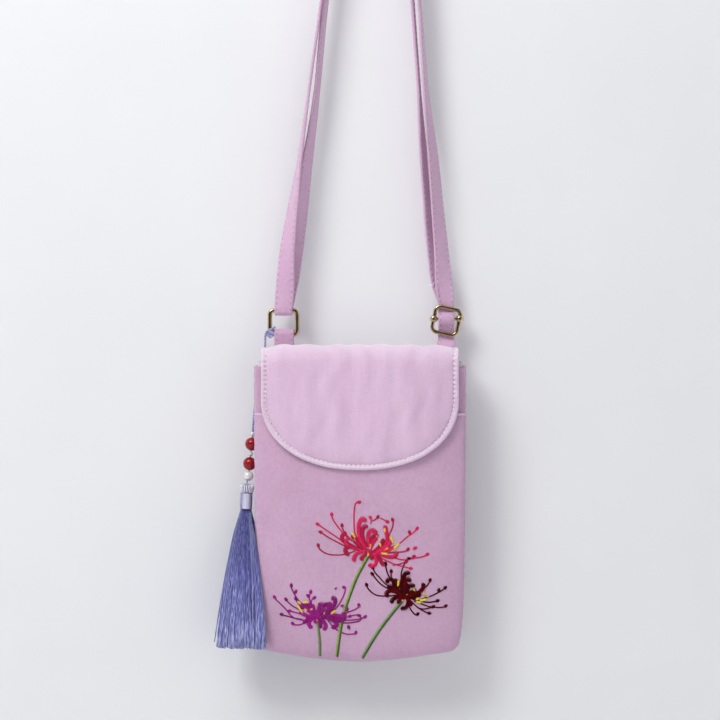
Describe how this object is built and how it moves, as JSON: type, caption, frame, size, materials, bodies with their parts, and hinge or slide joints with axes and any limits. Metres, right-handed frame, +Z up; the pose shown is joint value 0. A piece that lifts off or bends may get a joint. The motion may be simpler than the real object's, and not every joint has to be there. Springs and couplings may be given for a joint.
{
  "type": "embroidered crossbody pouch",
  "caption": "Slim cotton crossbody pouch with a rounded flap, an adjustable strap, metal ring and slider, and a beaded tassel, hanging from its doubled strap.",
  "frame": {"origin": "top of the peg that the strap hangs on, under the inner layer of the strap", "axes": "+X to the right seen from the front, +Y to the back, +Z up; the flap and the embroidery face -Y"},
  "size_m": [0.1484, 0.0399, 0.5303],
  "materials": {
    "lilac_cotton": "fine matt cotton weave, softly padded",
    "lilac_strap": "folded cotton band, topstitched along both edges",
    "pale_lining": "plain pale lining cloth",
    "pale_gold": "polished pale gold plating",
    "tassel_cord": "thin twisted cord",
    "clear_bead": "clear silvery seed bead",
    "red_bead": "polished deep red bead",
    "pearl": "white pearl lustre",
    "tassel_binding": "close winding of shiny thread",
    "tassel_thread": "silky periwinkle threads"
  },
  "bodies": {
    "root": {"pouch": "lilac_cotton", "mouth_lining": "pale_lining", "front_pocket": "lilac_cotton", "flap": "lilac_cotton", "strap": "lilac_strap", "ring_tab": "lilac_strap", "rectangular_ring": "pale_gold", "slider_frame": "pale_gold", "slider_bar": "pale_gold", "tassel_string": "tassel_cord", "seed_bead_1": "clear_bead", "red_bead_1": "red_bead", "seed_bead_2": "clear_bead", "red_bead_2": "red_bead", "pearl_bead": "pearl", "tassel_head": "tassel_binding", "tassel_skirt": "tassel_thread"}
  },
  "joints": []
}
